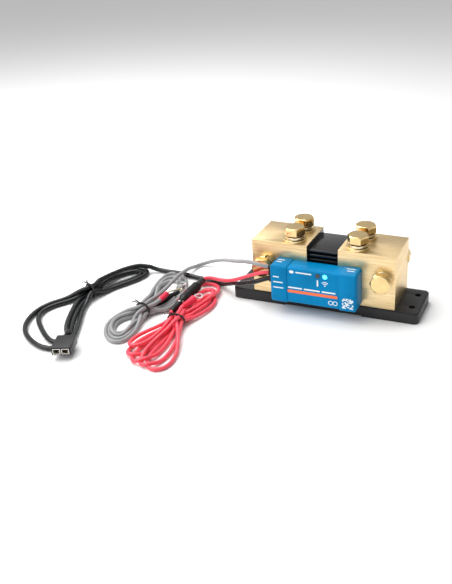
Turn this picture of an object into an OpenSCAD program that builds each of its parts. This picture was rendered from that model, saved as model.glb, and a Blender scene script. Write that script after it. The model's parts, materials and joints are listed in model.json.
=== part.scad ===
// Battery monitor shunt: two brass terminal blocks joined by a stack of resistor
// plates on a moulded base, a small monitor module on the front, and three leads.
// X runs from the left terminal to the right one, -Y is the module side, +Z is up.
// The origin is the centre of the four mounting holes on the underside plane.

/* [Base] */
// Length of the moulded base
base_l = 168; // [160:1:180]
// Depth of the moulded base
base_w = 46; // [46:1:56]
// Thickness of the moulded base
base_h = 10; // [8:0.5:14]
// Radius of the base corners
base_corner_r = 4.5; // [2:0.5:8]
// Distance between the mounting holes along the base
hole_pitch_x = 152; // [148:1:156]
// Distance between the mounting holes across the base
hole_pitch_y = 23; // [16:1:30]
// Diameter of a mounting hole
hole_d = 5.5; // [4.5:0.1:6.5]
// Length of the shallow relief under the middle of the base
relief_l = 70; // [40:1:100]
// Depth of that relief
relief_h = 1; // [0.5:0.1:2]

/* [Terminal blocks] */
// Length of one brass block
block_l = 49.8; // [44:0.2:54]
// Depth of one brass block
block_w = 44; // [40:1:46]
// Height of one brass block
block_h = 48.4; // [44:0.4:54]
// Gap between the two blocks
block_gap = 27.6; // [20:0.4:32]

/* [Resistor plates] */
// Number of resistor plates in the stack
plate_count = 10; // [6:1:10]
// Thickness of one plate
plate_t = 2; // [1.2:0.1:2.6]
// Distance from one plate to the next
plate_pitch = 4.2; // [3.6:0.1:4.4]
// Width of a plate
plate_w = 38.4; // [30:0.2:40]
// How far the top plate lies below the top of the blocks
plate_drop = 3.8; // [2:0.2:8]
// How far a plate reaches into the slot of a block
plate_reach = 4; // [2:0.5:6]

/* [Terminal bolts] */
// Thread diameter of a terminal bolt
bolt_d = 10; // [8:1:10]
// Thread pitch of a terminal bolt
bolt_pitch = 1.5; // [1.25:0.25:1.5]
// Width across the flats of the bolt head
head_af = 16; // [13:0.5:17]
// Height of the bolt head
head_h = 6.4; // [5:0.1:7]
// Length of the shank of a top bolt
shank_l = 25; // [22:1:26]
// Length of the shank of a bolt on a side face
side_shank_l = 20; // [16:1:20]
// Outside diameter of the flat washer
washer_d = 20; // [17:0.5:20]
// Thickness of the flat washer
washer_t = 2; // [1.5:0.1:2]
// Outside diameter of the spring washer
spring_d = 17.6; // [16:0.2:18]
// Wire thickness of the spring washer
spring_t = 2.2; // [1.6:0.1:2.4]
// Rise of the open ends of a spring washer that is only hand tight
spring_rise = 1.4; // [0.6:0.1:1.6]
// Distance of the top bolts from the middle of the shunt
top_bolt_x = 28; // [27:0.5:32]
// Distance of the top bolts from the long centre line
top_bolt_y = 11.5; // [11:0.5:12]

/* [Monitor module] */
// Length of the module
module_l = 76; // [74:1:78]
// Depth of the end caps, from the blocks to the front
module_w = 17; // [16:0.5:20]
// Height of the module
module_h = 33.5; // [32:0.5:34]
// Height of the module's underside above the ground
module_z = 11.5; // [11:0.5:12]
// Length of one end cap
cap_l = 15; // [14:0.5:15]
// Wall of the module's shells
shell_t = 1.6; // [1.2:0.1:2]
// How far the middle of the module stays inside the end caps
step_t = 0.6; // [0.3:0.1:0.8]
// Diameter of a light window
lens_d = 4.4; // [3:0.2:5]

/* [Leads] */
// Diameter of the grey lead
grey_d = 3.4; // [3:0.1:3.4]
// Diameter of the red lead
red_d = 3.2; // [3:0.1:3.2]
// Diameter of the black lead
black_d = 4.2; // [4:0.1:4.2]

/* [Hidden] */

eps = 0.01;
touch = 0.05;
round_fn = 48;

// heights and places of the main blocks
block_top = base_h + block_h;
block_mid_x = (block_gap + block_l) / 2;
block_front = -block_w / 2;
plate_top = block_top - plate_drop;
base_screw_y = 12;
base_screw_d = 5;

// bolts on the front and rear faces of the blocks
front_bolt_x = 52.5;
front_bolt_z = 36;
rear_bolt_x = 55;
rear_bolt_z = 39;
// a plain shank stands for the thread, at the middle of its depth
shank_d = bolt_d - 0.6 * bolt_pitch;
bore_d = bolt_d + 0.1;
bore_l = shank_l + 2;
side_bore_l = side_shank_l - 0.5;
spring_h = spring_t + spring_rise;
top_seat = washer_t + spring_h;
rear_seat = washer_t + spring_t;

// module outline
module_mid_x = -3;
module_x0 = module_mid_x - module_l / 2;
module_x1 = module_mid_x + module_l / 2;
module_back = block_front;
module_front = module_back - module_w;
module_top = module_z + module_h;
cap_x0 = module_x0 + cap_l;
cap_x1 = module_x1 - cap_l;
cap_edge = 1.6;
split_y = module_back - 8;
board_y = module_back - 5;
board_t = 1.6;
sense_x = [-31, 27];
sense_z = 19.5;
sense_d = 4;
post_d = 8;
window_x = [1.6, 7.9];
window_z = 40.5;

// leads leave the left end cap one above the other
exit_y = -34;
exit_z = [40.7, 35.3, 29.9];
grommet_out = 1.2;
grommet_r = 2.6;
exit_x = module_x0 - grommet_out;

// routes of the free stretches, from the grommet to the hank
grey_route = [[exit_x, exit_y, exit_z[0]], [-44, exit_y, exit_z[0]], [-48, -35.4, 41.6], [-52.5, -36.3, 42.8],
    [-58, -35.2, 42.9], [-64.5, -31.2, 41], [-72, -25.2, 37.8], [-80.5, -17.2, 33.2], [-89.5, -8.2, 28.2],
    [-98, 1, 23.4], [-106, 9.6, 18.8], [-114, 17.4, 14.2], [-122, 23.8, 9.8], [-130, 28, 6], [-137, 28.4, 3.2],
    [-141.8, 25, 2.2], [-143.8, 19, 2.6], [-144, 12.4, 4.4], [-144, 6, 6], [-144, 0, 6.8], [-144, -6, 7.4]];
red_route = [[exit_x, exit_y, exit_z[1]], [-44, exit_y, exit_z[1]], [-48, -35.3, 35.3], [-53, -36, 34],
    [-60, -34.6, 30.5], [-68, -31, 26], [-76, -28, 21.5], [-84, -24.6, 17.4], [-92, -20.4, 14],
    [-99, -16, 11.4], [-105, -12, 9.4], [-110, -9, 8], [-114, -7.6, 7.3], [-117, -8, 7],
    [-118.7, -10, 7], [-119, -13, 7]];
black_route = [[exit_x, exit_y, exit_z[2]], [-44, exit_y, exit_z[2]], [-48, -35.2, 28.9], [-53, -36, 27],
    [-60, -34.8, 23.8], [-67, -31.6, 20.4], [-75, -28, 16.8], [-83, -22, 13.4], [-91, -16, 9],
    [-98, -11, 5], [-104, -7, 2.8], [-114, -4, 2.2], [-126, -2, 2.2], [-135, -1, 2.2], [-144, 1, 2.2],
    [-153, 2, 2.2], [-165, 2, 2.2], [-174, 1, 3.2], [-181, -1.5, 6.2]];

// where each hank is tied, and the direction of its upper end from there
grey_tie_at = [-142, -80];
grey_up = [0.05, 1];
red_tie_at = [-107, -86];
red_up = [-0.12, 1];
black_tie_at = [-205, -63];
black_up = [0.37, 0.93];
grey_neck_r = 7;
red_neck_r = 7.3;
black_neck_r = 6.8;
hank_h = 8;

// red fuse holder: a thick half, a cap half and the fuse between them
holder_top = [-119, -13, 7];
holder_end = [-118, -43, 7];
holder_l = 32;
holder_r = 3.9;
fuse_r = 2.5;

// far ends of the grey and the red lead
red_end = [-110.1, -67.6, 9];
red_end_to = [-107.4, -54, 9];
boot_l = 15;
red_eye_r = 2.7;
grey_end = [-134.4, -63.6, 9];
grey_end_to = [-134.9, -50.6, 9];
grey_eye_r = 2.2;
grey_ring_at = [-133.6, -31, 4.5];
grey_ring_to = [-136.3, -22.4, 4.5];
grey_fuse_from = [-141, -66, 3.4];
grey_fuse_to = [-132, -35, 3.4];

// plug of the black lead: the middle of its rear face, its turn and its sockets.
// It lies on two turns of its own hank.
plug_at = [-173, -142.2];
plug_z = 4.3;
plug_turn = 20.6;
plug_w = 15;
plug_l = 20;
plug_h = 7;
socket_w = 6;
socket_h = 4.8;
socket_x = 3.4;
socket_depth = 9;

function unit(v) = v / norm(v);

function path_dir(p, i) = unit(p[min(i + 1, len(p) - 1)] - p[max(i - 1, 0)]);

// ring of points around the path at point i, kept level so that it never twists
function path_ring(p, i, r, sides) =
    let (d = path_dir(p, i), side = unit(cross(d, [0, 0, 1])), up = cross(side, d))
    [for (k = [0:sides - 1]) p[i] + r * (cos(360 * k / sides) * side + sin(360 * k / sides) * up)];

// a round cord along the points p
module cord(p, r, sides = 8) {
    n = len(p);
    points = [for (i = [0:n - 1]) each path_ring(p, i, r, sides)];
    walls = [for (i = [0:n - 2], k = [0:sides - 1])
        [i * sides + k, i * sides + (k + 1) % sides,
            (i + 1) * sides + (k + 1) % sides, (i + 1) * sides + k]];
    first = [for (k = [sides - 1:-1:0]) k];
    last = [for (k = [0:sides - 1]) (n - 1) * sides + k];
    polyhedron(points = points, faces = concat(walls, [first, last]));
}

// a plate with rounded corners in plan
module rounded_plate(l, w, h, r) {
    linear_extrude(h) union() {
        square([l - 2 * r, w], center = true);
        square([l, w - 2 * r], center = true);
        for (x = [-1, 1], y = [-1, 1]) translate([x * (l / 2 - r), y * (w / 2 - r)]) circle(r, $fn = round_fn);
    }
}

// a box with its front and end edges cut off at 45 degrees, lying from x0 to x1
module edged_box(x0, x1, y_front, y_back, z0, z1, cut_left, cut_right, cut_face) {
    intersection() {
        translate([x0, y_front, z0]) cube([x1 - x0, y_back - y_front, z1 - z0]);
        // outline seen from above: the vertical front edges
        translate([0, 0, z0 - eps]) linear_extrude(z1 - z0 + 2 * eps)
            polygon([[x0, y_back + eps], [x0, y_front + cut_left], [x0 + cut_left, y_front],
                [x1 - cut_right, y_front], [x1, y_front + cut_right], [x1, y_back + eps]]);
        // outline seen from the front: the corners
        translate([0, y_back + eps, 0]) rotate([90, 0, 0]) linear_extrude(y_back - y_front + 2 * eps)
            polygon([[x0, z0 + cut_left], [x0 + cut_left, z0], [x1 - cut_right, z0],
                [x1, z0 + cut_right], [x1, z1 - cut_right], [x1 - cut_right, z1],
                [x0 + cut_left, z1], [x0, z1 - cut_left]]);
        // outline seen from the end: the long front edges
        translate([x0 - eps, 0, 0]) rotate([90, 0, 90]) linear_extrude(x1 - x0 + 2 * eps)
            polygon([[y_back + eps, z0], [y_front + cut_face, z0], [y_front, z0 + cut_face],
                [y_front, z1 - cut_face], [y_front + cut_face, z1], [y_back + eps, z1]]);
    }
}

// places a part that is drawn along +Z onto a seat and turns it to face outwards
module on_top(side, row) translate([side * top_bolt_x, row * top_bolt_y, block_top]) children();
module on_front(side) translate([side * front_bolt_x, block_front, front_bolt_z]) rotate([90, 0, 0]) children();
module on_rear(side) translate([side * rear_bolt_x, -block_front, rear_bolt_z]) rotate([-90, 0, 0]) children();

// hexagon head bolt with its head's underside at z = seat
module hex_bolt(seat, shank_l) {
    head_r = head_af / 2 / cos(30);
    tip = 1;
    color("goldenrod") translate([0, 0, seat + touch]) union() {
        intersection() {
            cylinder(r = head_r, h = head_h, $fn = 6);
            union() {
                cylinder(r = head_r + 1, h = head_h - 1.2, $fn = round_fn);
                translate([0, 0, head_h - 1.2 - eps])
                    cylinder(r1 = head_r + 0.3, r2 = head_af / 2 - 0.3, h = 1.2 + eps, $fn = round_fn);
            }
        }
        translate([0, 0, tip - shank_l]) cylinder(d = shank_d, h = shank_l - tip + eps, $fn = round_fn);
        translate([0, 0, -shank_l]) cylinder(d1 = shank_d - 2 * tip, d2 = shank_d, h = tip + eps, $fn = round_fn);
    }
}

// split spring washer, its two ends apart by rise
module spring_washer(rise) {
    r0 = bolt_d / 2 + 0.3;
    r1 = spring_d / 2;
    steps = 30;
    turn = 350;
    color("gainsboro") if (rise > 0) {
        points = [for (i = [0:steps]) let (a = turn * i / steps, z = rise * i / steps)
            each [[r0 * cos(a), r0 * sin(a), z], [r1 * cos(a), r1 * sin(a), z],
                [r1 * cos(a), r1 * sin(a), z + spring_t], [r0 * cos(a), r0 * sin(a), z + spring_t]]];
        walls = [for (i = [0:steps - 1], k = [0:3])
            [4 * i + k, 4 * i + 4 + k, 4 * i + 4 + (k + 1) % 4, 4 * i + (k + 1) % 4]];
        polyhedron(points = points, faces = concat(walls, [[0, 1, 2, 3]],
            [[4 * steps + 3, 4 * steps + 2, 4 * steps + 1, 4 * steps]]));
    } else {
        rotate_extrude(angle = turn, $fn = 60) translate([r0, 0]) square([r1 - r0, spring_t]);
    }
}

module flat_washer() {
    color("darkkhaki") difference() {
        cylinder(d = washer_d, h = washer_t - touch, $fn = 60);
        translate([0, 0, -1]) cylinder(d = bolt_d + 0.6, h = washer_t + 2, $fn = round_fn);
    }
}

module base() {
    chamfer = 0.8;
    color("dimgray") difference() {
        union() {
            rounded_plate(base_l, base_w, base_h - chamfer, base_corner_r);
            rounded_plate(base_l - 2 * chamfer, base_w - 2 * chamfer, base_h, base_corner_r - chamfer);
        }
        translate([-relief_l / 2, -base_w, -1]) cube([relief_l, 2 * base_w, 1 + relief_h]);
        for (x = [-1, 1], y = [-1, 1]) {
            translate([x * hole_pitch_x / 2, y * hole_pitch_y / 2, -1])
                cylinder(d = hole_d, h = base_h + 2, $fn = round_fn);
            translate([x * block_mid_x, y * base_screw_y, -1])
                cylinder(d = base_screw_d + 0.4, h = base_h + 2, $fn = round_fn);
            translate([x * block_mid_x, y * base_screw_y, -1]) cylinder(d = 10.4, h = 1.6, $fn = round_fn);
            translate([x * block_mid_x, y * base_screw_y, 0.6 - eps])
                cylinder(d1 = 10.4, d2 = base_screw_d + 0.4, h = 2.6, $fn = round_fn);
        }
    }
}

// countersunk screws that hold the blocks to the base from below
module base_screws() {
    color("silver") for (x = [-1, 1], y = [-1, 1]) translate([x * block_mid_x, y * base_screw_y, 0.8])
        difference() {
            union() {
                cylinder(d1 = 9.8, d2 = base_screw_d, h = 2.5, $fn = round_fn);
                cylinder(d = base_screw_d, h = 19, $fn = round_fn);
            }
            translate([0, 0, -1]) cylinder(d = 3.4, h = 2.8, $fn = 6);
        }
}

// one brass block, drawn for the right side: slots on its inner face, bores for its bolts
module terminal_block(sense) {
    color("burlywood") difference() {
        translate([block_gap / 2, block_front, base_h]) cube([block_l, block_w, block_h]);
        for (k = [0:plate_count - 1]) translate([block_gap / 2 - 1, -plate_w / 2, plate_top - k * plate_pitch - plate_t])
            cube([plate_reach + 1, plate_w, plate_t]);
        for (row = [-1, 1]) {
            translate([top_bolt_x, row * top_bolt_y, block_top - bore_l])
                cylinder(d = bore_d, h = bore_l + 1, $fn = round_fn);
            translate([block_mid_x, row * base_screw_y, base_h - 1])
                cylinder(d = base_screw_d + 0.1, h = 12, $fn = round_fn);
        }
        on_front(1) translate([0, 0, -side_bore_l]) cylinder(d = bore_d, h = side_bore_l + 1, $fn = round_fn);
        on_rear(1) translate([0, 0, -side_bore_l]) cylinder(d = bore_d, h = side_bore_l + 1, $fn = round_fn);
        translate([sense, block_front - 1, sense_z]) rotate([-90, 0, 0])
            cylinder(d = sense_d + 0.1, h = 10, $fn = round_fn);
    }
}

module block_left() mirror([1, 0, 0]) terminal_block(-sense_x[0]);
module block_right() terminal_block(sense_x[1]);

// plates of resistance alloy, seated in the slots of both blocks
module resistor_plates() {
    color("black") for (k = [0:plate_count - 1])
        translate([-block_gap / 2 - plate_reach, -plate_w / 2, plate_top - k * plate_pitch - plate_t])
            cube([block_gap + 2 * plate_reach, plate_w, plate_t]);
}

// terminal bolts with their washers
module bolt_left_front_top() on_top(-1, -1) hex_bolt(top_seat, shank_l);
module bolt_left_rear_top() on_top(-1, 1) hex_bolt(top_seat, shank_l);
module bolt_right_front_top() on_top(1, -1) hex_bolt(top_seat, shank_l);
module bolt_right_rear_top() on_top(1, 1) hex_bolt(top_seat, shank_l);
module bolt_left_front_side() on_front(-1) hex_bolt(spring_t, side_shank_l);
module bolt_right_front_side() on_front(1) hex_bolt(spring_t, side_shank_l);
module bolt_left_rear_side() on_rear(-1) hex_bolt(rear_seat, side_shank_l);
module bolt_right_rear_side() on_rear(1) hex_bolt(rear_seat, side_shank_l);

module top_spring() translate([0, 0, washer_t]) spring_washer(spring_rise);
module spring_left_front_top() on_top(-1, -1) rotate(200) top_spring();
module spring_left_rear_top() on_top(-1, 1) rotate(140) top_spring();
module spring_right_front_top() on_top(1, -1) rotate(230) top_spring();
module spring_right_rear_top() on_top(1, 1) rotate(170) top_spring();
module spring_left_front_side() on_front(-1) rotate(80) spring_washer(0);
module spring_right_front_side() on_front(1) rotate(250) spring_washer(0);
module spring_left_rear_side() on_rear(-1) translate([0, 0, washer_t]) spring_washer(0);
module spring_right_rear_side() on_rear(1) translate([0, 0, washer_t]) spring_washer(0);

module washer_left_front_top() on_top(-1, -1) flat_washer();
module washer_left_rear_top() on_top(-1, 1) flat_washer();
module washer_right_front_top() on_top(1, -1) flat_washer();
module washer_right_rear_top() on_top(1, 1) flat_washer();
module washer_left_rear_side() on_rear(-1) flat_washer();
module washer_right_rear_side() on_rear(1) flat_washer();

// end cap of the module, a shell that is open towards the middle
module end_cap(x0, x1, cut_left, cut_right, open_left, open_right, sense) {
    difference() {
        edged_box(x0, x1, module_front, module_back, module_z, module_top, cut_left, cut_right, 1);
        translate([x0 + (open_left ? -1 : shell_t), module_front + shell_t, module_z + shell_t])
            cube([x1 - x0 - (open_left ? -1 : shell_t) + (open_right ? 1 : -shell_t),
                module_w - 2 * shell_t, module_h - 2 * shell_t]);
        translate([sense, module_back + 1, sense_z]) rotate([90, 0, 0])
            cylinder(d = post_d + 0.4, h = shell_t + 2, $fn = round_fn);
    }
}

module end_cap_left() {
    color("steelblue") difference() {
        end_cap(module_x0, cap_x0, cap_edge, 0, false, true, sense_x[0]);
        for (z = exit_z) translate([module_x0 - 1, exit_y, z]) rotate([0, 90, 0])
            cylinder(r = grommet_r, h = shell_t + 2, $fn = round_fn);
    }
}

module end_cap_right() {
    color("steelblue") end_cap(cap_x1, module_x1, 0, cap_edge, true, false, sense_x[1]);
}

// outline of the middle of the module, a step inside the end caps
module middle_box(y_front, y_back, inset) {
    edged_box(cap_x0, cap_x1, y_front + inset, y_back, module_z + step_t + inset,
        module_top - step_t - inset, 0, 0, 1);
}

module back_shell() {
    color("steelblue") difference() {
        translate([cap_x0, split_y, module_z + step_t])
            cube([cap_x1 - cap_x0, module_back - split_y, module_h - 2 * step_t]);
        translate([cap_x0 - 1, split_y - 1, module_z + step_t + shell_t])
            cube([cap_x1 - cap_x0 + 2, module_back - split_y + 1 - shell_t, module_h - 2 * step_t - 2 * shell_t]);
    }
}

module front_cover() {
    front = module_front + step_t;
    color("steelblue") difference() {
        middle_box(front, split_y, 0);
        translate([cap_x0 - 1, front + shell_t, module_z + step_t + shell_t])
            cube([cap_x1 - cap_x0 + 2, module_w, module_h - 2 * step_t - 2 * shell_t]);
        for (x = window_x) translate([x, front - 1, window_z]) rotate([-90, 0, 0])
            cylinder(d = lens_d + 0.1, h = shell_t + 2, $fn = round_fn);
    }
}

module circuit_board() {
    edge = shell_t + 0.8;
    color("darkgreen") difference() {
        translate([module_x0 + edge, board_y - board_t, module_z + edge])
            cube([module_l - 2 * edge, board_t, module_h - 2 * edge]);
        for (x = sense_x) translate([x, board_y + 1, sense_z]) rotate([90, 0, 0])
            cylinder(d = sense_d + 0.4, h = board_t + 2, $fn = round_fn);
    }
}

// packages soldered to the front of the board: [x, z, length, height, depth]
module board_chips() {
    chips = [[-8, 24, 9, 9, 1.4], [-20, 20, 6, 5, 1.6], [-20, 32, 5, 6, 1.2], [-10, 36, 7, 4, 2.2],
        [4, 19, 5, 5, 3], [12, 18, 6, 6, 3.2], [-30, 14.6, 4, 1.4, 1], [1.6, 40.5, 1.6, 1.6, 0.8],
        [7.9, 40.5, 1.6, 1.6, 0.8], [-16, 26, 1.6, 0.8, 0.7], [-16, 28, 1.6, 0.8, 0.7], [0, 30, 3, 2, 1]];
    color("black") for (c = chips)
        translate([c[0] - c[2] / 2, board_y - board_t - c[4], c[1] - c[3] / 2]) cube([c[2], c[4], c[3]]);
}

module radio_can() {
    color("silver") translate([12, board_y - board_t - 2, 25]) cube([14, 2, 12]);
}

// sockets on the board that take the three leads
module lead_sockets() {
    socket_l = 9;
    socket_h = 4.8;
    color("ivory") for (z = exit_z)
        translate([module_x0 + shell_t + 1, exit_y - socket_h / 2, z - socket_h / 2])
            cube([socket_l, board_y - board_t - exit_y + socket_h / 2, socket_h]);
}

// brass posts between the blocks and the board, and the screws that clamp it
module sense_posts() {
    color("burlywood") for (x = sense_x) translate([x, module_back, sense_z]) rotate([90, 0, 0]) difference() {
        cylinder(d = post_d, h = module_back - board_y, $fn = round_fn);
        translate([0, 0, -1]) cylinder(d = sense_d + 0.4, h = module_back - board_y + 2, $fn = round_fn);
    }
}

module sense_screws() {
    reach = 8;
    color("silver") for (x = sense_x) translate([x, board_y - board_t, sense_z]) rotate([90, 0, 0])
        difference() {
            union() {
                cylinder(d = 7.4, h = 2.6, $fn = round_fn);
                translate([0, 0, -board_t - (module_back - board_y) - reach])
                    cylinder(d = sense_d, h = board_t + module_back - board_y + reach + eps, $fn = round_fn);
            }
            translate([0, 0, 1.2]) cylinder(d = 3, h = 2, $fn = 6);
        }
}

// clear windows that lead the light of the two indicators to the front
module light_window(x) {
    color("skyblue") translate([x, module_front + step_t, window_z]) rotate([-90, 0, 0])
        cylinder(d = lens_d, h = 7, $fn = round_fn);
}
module status_window() light_window(window_x[0]);
module radio_window() light_window(window_x[1]);

module lead_grommets() {
    color("black") for (z = exit_z) translate([exit_x, exit_y, z]) rotate([0, 90, 0])
        cylinder(r = grommet_r - touch, h = grommet_out + shell_t + 1, $fn = round_fn);
}

// a hank: an extruded outline with round ends, and the round bundle under its tie.
// upper and lower are the corner circles of the two loops, each [x, y, radius].
module hank(tie, neck_r, upper, lower, up) {
    linear_extrude(hank_h) union() {
        for (lobe = [upper, lower]) hull() for (c = concat([[tie[0], tie[1], neck_r - 0.5]], lobe))
            translate([c[0], c[1]]) circle(c[2], $fn = 32);
    }
    translate([tie[0], tie[1], neck_r]) rotate([0, 90, atan2(up[1], up[0])])
        translate([0, 0, -8]) cylinder(r = neck_r, h = 16, $fn = 32);
}

// twisted wire tie around the neck of a hank, with its two ends
module tie(tie, neck_r, up) {
    wire = 1.1;
    color("black") translate([tie[0], tie[1], neck_r + touch]) rotate([0, 90, atan2(up[1], up[0])]) {
        difference() {
            translate([0, 0, -wire]) cylinder(r = neck_r, h = 2 * wire, $fn = round_fn);
            translate([0, 0, -wire - 1]) cylinder(r = neck_r - wire, h = 2 * wire + 2, $fn = round_fn);
        }
        translate([-neck_r - 0.2, 0, 0]) rotate([0, -60, 60]) cylinder(d = wire, h = 9, $fn = 16);
        translate([-neck_r - 0.2, 0, 0]) rotate([0, -60, 115]) cylinder(d = wire, h = 7, $fn = 16);
    }
}

module grey_lead() color("darkgray") cord(grey_route, grey_d / 2);
module red_lead() color("crimson") cord(red_route, red_d / 2);
module black_lead() color("dimgray") cord(black_route, black_d / 2);

module grey_hank() color("darkgray") hank(grey_tie_at, grey_neck_r,
    [[-153, -22, 7], [-149, -13, 7], [-139, -15, 7], [-137, -50, 6]],
    [[-155, -93, 8], [-155, -105, 8], [-145, -122, 8], [-140, -124, 6.5], [-139, -100, 5]], grey_up);
module red_hank() color("crimson") hank(red_tie_at, red_neck_r,
    [[-124, -22, 5], [-112, -17, 6], [-105, -18, 6], [-103, -36, 6], [-123, -46, 4]],
    [[-118, -125, 6.5], [-112, -141, 6.5], [-99, -147, 7], [-91, -147, 7]], red_up);
module black_hank() color("dimgray") hank(black_tie_at, black_neck_r,
    [[-210, -38, 5], [-208, -22, 6], [-197, -4, 6], [-188, -4, 5.5], [-184, -15, 5.5]],
    [[-228, -94, 6], [-228, -108, 6], [-220, -130, 7], [-204, -142, 7], [-193, -144, 5],
        [-179, -146, 5]], black_up);

module grey_tie() tie(grey_tie_at, grey_neck_r, grey_up);
module red_tie() tie(red_tie_at, red_neck_r, red_up);
module black_tie() tie(black_tie_at, black_neck_r, black_up);

// places a part that is drawn along +Z so that it runs along the level line from a to b
module along(a, b) translate(a) rotate([0, 90, atan2(b[1] - a[1], b[0] - a[0])]) children();

// red inline fuse: thick holder, the cap that pushes over it, and the fuse inside
module red_fuse_holder() {
    color("black") along(holder_top, holder_end) difference() {
        union() {
            cylinder(r1 = 2.6, r2 = holder_r, h = 2, $fn = round_fn);
            translate([0, 0, 2 - eps]) cylinder(r = holder_r, h = holder_l - 2, $fn = round_fn);
        }
        translate([0, 0, 6]) cylinder(r = fuse_r + 0.1, h = holder_l, $fn = round_fn);
    }
}

module red_fuse_cap() {
    sleeve_r = 2.9;
    sleeve_l = 26;
    color("black") along(holder_top, holder_end) translate([0, 0, holder_l]) difference() {
        union() {
            cylinder(r = holder_r + 0.5, h = 5, $fn = round_fn);
            translate([0, 0, 5 - eps]) cylinder(r = sleeve_r, h = sleeve_l - 4, $fn = round_fn);
            translate([0, 0, sleeve_l + 1 - 2 * eps]) cylinder(r1 = sleeve_r, r2 = 2, h = 4, $fn = round_fn);
        }
        translate([0, 0, -1]) cylinder(r = fuse_r + 0.1, h = 4, $fn = round_fn);
    }
}

module red_fuse() {
    color("silver") along(holder_top, holder_end) translate([0, 0, 6 + touch])
        cylinder(r = fuse_r, h = holder_l - 4, $fn = round_fn);
}

// flared boot on the far end of the red lead, and its ring terminal
module red_boot() {
    color("crimson") along(red_end, red_end_to) cylinder(r1 = 2.2, r2 = 3.6, h = boot_l, $fn = round_fn);
}

module red_ring() {
    color("silver") lug(red_end, red_end_to, boot_l, 1.8, 2, 4.2, red_eye_r);
}

// flat ring lug on the line from a to b, starting at the distance s from a
module lug(a, b, s, barrel_r, barrel_l, eye_r, hole_r) {
    t = 1;
    reach = s + barrel_l + eye_r;
    translate(a) rotate(atan2(b[1] - a[1], b[0] - a[0])) difference() {
        union() {
            translate([s, 0, 0]) rotate([0, 90, 0]) cylinder(r = barrel_r, h = barrel_l + 1, $fn = round_fn);
            translate([s + barrel_l, -barrel_r, -t / 2]) cube([eye_r, 2 * barrel_r, t]);
            translate([reach, 0, -t / 2]) cylinder(r = eye_r, h = t, $fn = round_fn);
        }
        translate([reach, 0, -t]) cylinder(r = hole_r, h = 2 * t, $fn = round_fn);
        translate([reach - hole_r, -barrel_r - 1, t / 2]) cube([2 * hole_r, 2 * barrel_r + 2, 2 * barrel_r]);
    }
}

// slim fuse holder of the grey lead, pointed at both ends
module grey_fuse_holder() {
    l = 32;
    r = 3;
    tip_r = 1.4;
    color("black") along(grey_fuse_from, grey_fuse_to) rotate_extrude($fn = round_fn)
        polygon([[0, 0], [tip_r + 0.4, 0], [r, 8], [r, l - 13], [tip_r, l], [0, l]]);
}

module grey_sleeve() {
    color("crimson") along(grey_end, grey_end_to) cylinder(r = 2.4, h = 13, $fn = round_fn);
}

// bare cream wires that join the grey lead and its fuse to the ring terminal
module grey_wires() {
    color("ivory") {
        cord([[-134.9, -50.6, 9], [-135.1, -46.5, 8.7], [-134.9, -41, 7.2], [-134.3, -36, 5.6],
            [-133.6, -31, 4.5]], 0.7);
        cord([[-131.8, -34.2, 3.6], [-131.3, -33, 3.8], [-131.2, -31.8, 4.1], [-131.9, -30.6, 4.4],
            [-133, -30, 4.5]], 0.7);
    }
}

module grey_ring() {
    color("silver") lug(grey_ring_at, grey_ring_to, 0, 2, 5, 4, grey_eye_r);
}

// two-way plug on the far end of the black lead
module at_plug() translate([plug_at[0], plug_at[1], plug_z]) rotate(plug_turn) children();

module black_plug() {
    color("dimgray") at_plug() difference() {
        union() {
            translate([-plug_w / 2, -plug_l, 0]) cube([plug_w, plug_l, plug_h]);
            translate([-4, -1, 1]) cube([8, 5, plug_h - 2.4]);
        }
        for (side = [-1, 1]) translate([side * socket_x - socket_w / 2, -plug_l - 1, (plug_h - socket_h) / 2])
            cube([socket_w, socket_depth + 1, socket_h]);
    }
}

// sprung contacts at the back of the plug's two sockets
module plug_contacts() {
    color("gold") at_plug() for (side = [-1, 1])
        translate([side * socket_x - 1.2, -plug_l + socket_depth - 3, plug_h / 2 - 0.4]) cube([2.4, 3, 0.8]);
}

base();
base_screws();
block_left();
block_right();
resistor_plates();
bolt_left_front_top();
bolt_left_rear_top();
bolt_right_front_top();
bolt_right_rear_top();
bolt_left_front_side();
bolt_left_rear_side();
bolt_right_front_side();
bolt_right_rear_side();
spring_left_front_top();
spring_left_rear_top();
spring_right_front_top();
spring_right_rear_top();
spring_left_front_side();
spring_left_rear_side();
spring_right_front_side();
spring_right_rear_side();
washer_left_front_top();
washer_left_rear_top();
washer_right_front_top();
washer_right_rear_top();
washer_left_rear_side();
washer_right_rear_side();
back_shell();
front_cover();
end_cap_left();
end_cap_right();
circuit_board();
board_chips();
radio_can();
lead_sockets();
sense_posts();
sense_screws();
status_window();
radio_window();
lead_grommets();
grey_lead();
grey_hank();
grey_tie();
grey_fuse_holder();
grey_sleeve();
grey_wires();
grey_ring();
red_lead();
red_hank();
red_tie();
red_fuse_holder();
red_fuse_cap();
red_fuse();
red_boot();
red_ring();
black_lead();
black_hank();
black_tie();
black_plug();
plug_contacts();
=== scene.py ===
"""Looks of a battery monitor shunt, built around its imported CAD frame.

Places and sizes in the helpers are in millimetres, in the frame's own axes, and
mm() turns them into Blender's metres.
"""

import json
import math

import bmesh
import bpy
import numpy as np
from mathutils import Matrix, Vector


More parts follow.
